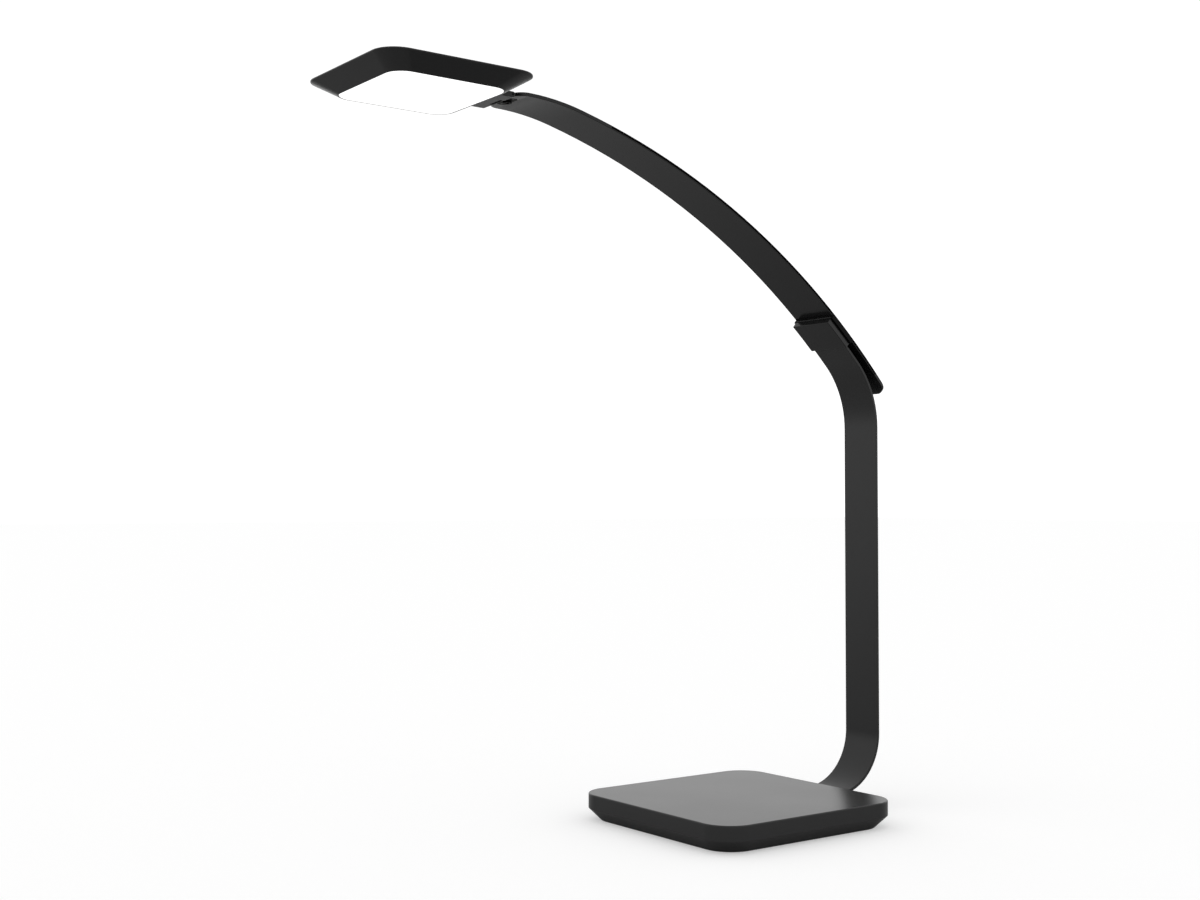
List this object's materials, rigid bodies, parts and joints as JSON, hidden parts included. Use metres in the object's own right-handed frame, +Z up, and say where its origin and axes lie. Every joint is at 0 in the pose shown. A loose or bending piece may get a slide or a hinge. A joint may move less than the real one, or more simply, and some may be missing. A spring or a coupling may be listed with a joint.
{
  "type": "led table lamp",
  "caption": "Black LED table lamp: square slab base, bent flat-strap post, arc-shaped arm that slides through a block, and a thin square head that tilts.",
  "frame": {"origin": "on the table, under the middle of the square base", "axes": "+Z up, -Y the way the arm and head reach, +Y the post's side, +X across, to the right seen from the front"},
  "size_m": [0.16, 0.444, 0.4837],
  "materials": {
    "shell_paint": "satin",
    "strap_paint": "satin",
    "slider_black": "satin",
    "keeper_steel": "satin",
    "hinge_black": "satin",
    "pin_steel": "ground",
    "pin_black": "black oxide",
    "clamp_steel": "zinc plated",
    "screw_black": "black zinc",
    "ballast_iron": "as cast",
    "plate_paint": "fine texture",
    "foot_rubber": "matt",
    "board_green": "solder mask",
    "component_black": "moulded",
    "socket_black": "moulded",
    "cable_black": "extruded",
    "insulator_black": "sheet",
    "shoe_black": "moulded",
    "conductor_brass": "black nickel plated",
    "washer_grey": "punched",
    "pad_grey": "soft",
    "board_white": "white solder mask",
    "led_cream": "moulded",
    "frame_white": "moulded",
    "diffuser_opal": "opal satin"
  },
  "bodies": {
    "base": {"base_shell": "shell_paint", "post_strap": "strap_paint", "cable_cover": "strap_paint", "slider_block": "slider_black", "left_keeper": "keeper_steel", "right_keeper": "keeper_steel", "touch_spring": "pin_steel", "strap_clamp": "clamp_steel", "clamp_screws": "clamp_steel", "plate_screws": "screw_black", "slider_screws": "screw_black", "base_weight": "ballast_iron", "bottom_plate": "plate_paint", "foot_pads": "foot_rubber", "control_board": "board_green", "board_components": "component_black", "dc_socket": "socket_black", "post_cable": "cable_black", "strap_insulator": "insulator_black", "glide_shoe": "shoe_black"},
    "arm": {"arm_strap": "strap_paint", "left_conductor": "conductor_brass", "right_conductor": "conductor_brass", "hinge_leaf": "hinge_black", "leaf_screw": "hinge_black", "leaf_dowels": "pin_black"},
    "head": {"head_shell": "shell_paint", "hinge_bracket": "hinge_black", "bracket_screws": "screw_black", "hinge_pin": "pin_black", "friction_washers": "washer_grey", "thermal_pad": "pad_grey", "led_board": "board_white", "leds": "led_cream", "reflector_frame": "frame_white", "diffuser": "diffuser_opal"}
  },
  "joints": [
    {"name": "arm_slide", "type": "hinge", "parent": "base", "child": "arm", "pos_m": [0, -0.27741, -0.0586], "axis": [1, 0, 0], "range_deg": [-24, 3.5]},
    {"name": "head_tilt", "type": "hinge", "parent": "arm", "child": "head", "pos_m": [0, -0.19928, 0.47918], "axis": [1, 0, 0], "range_deg": [-35, 75]}
  ]
}
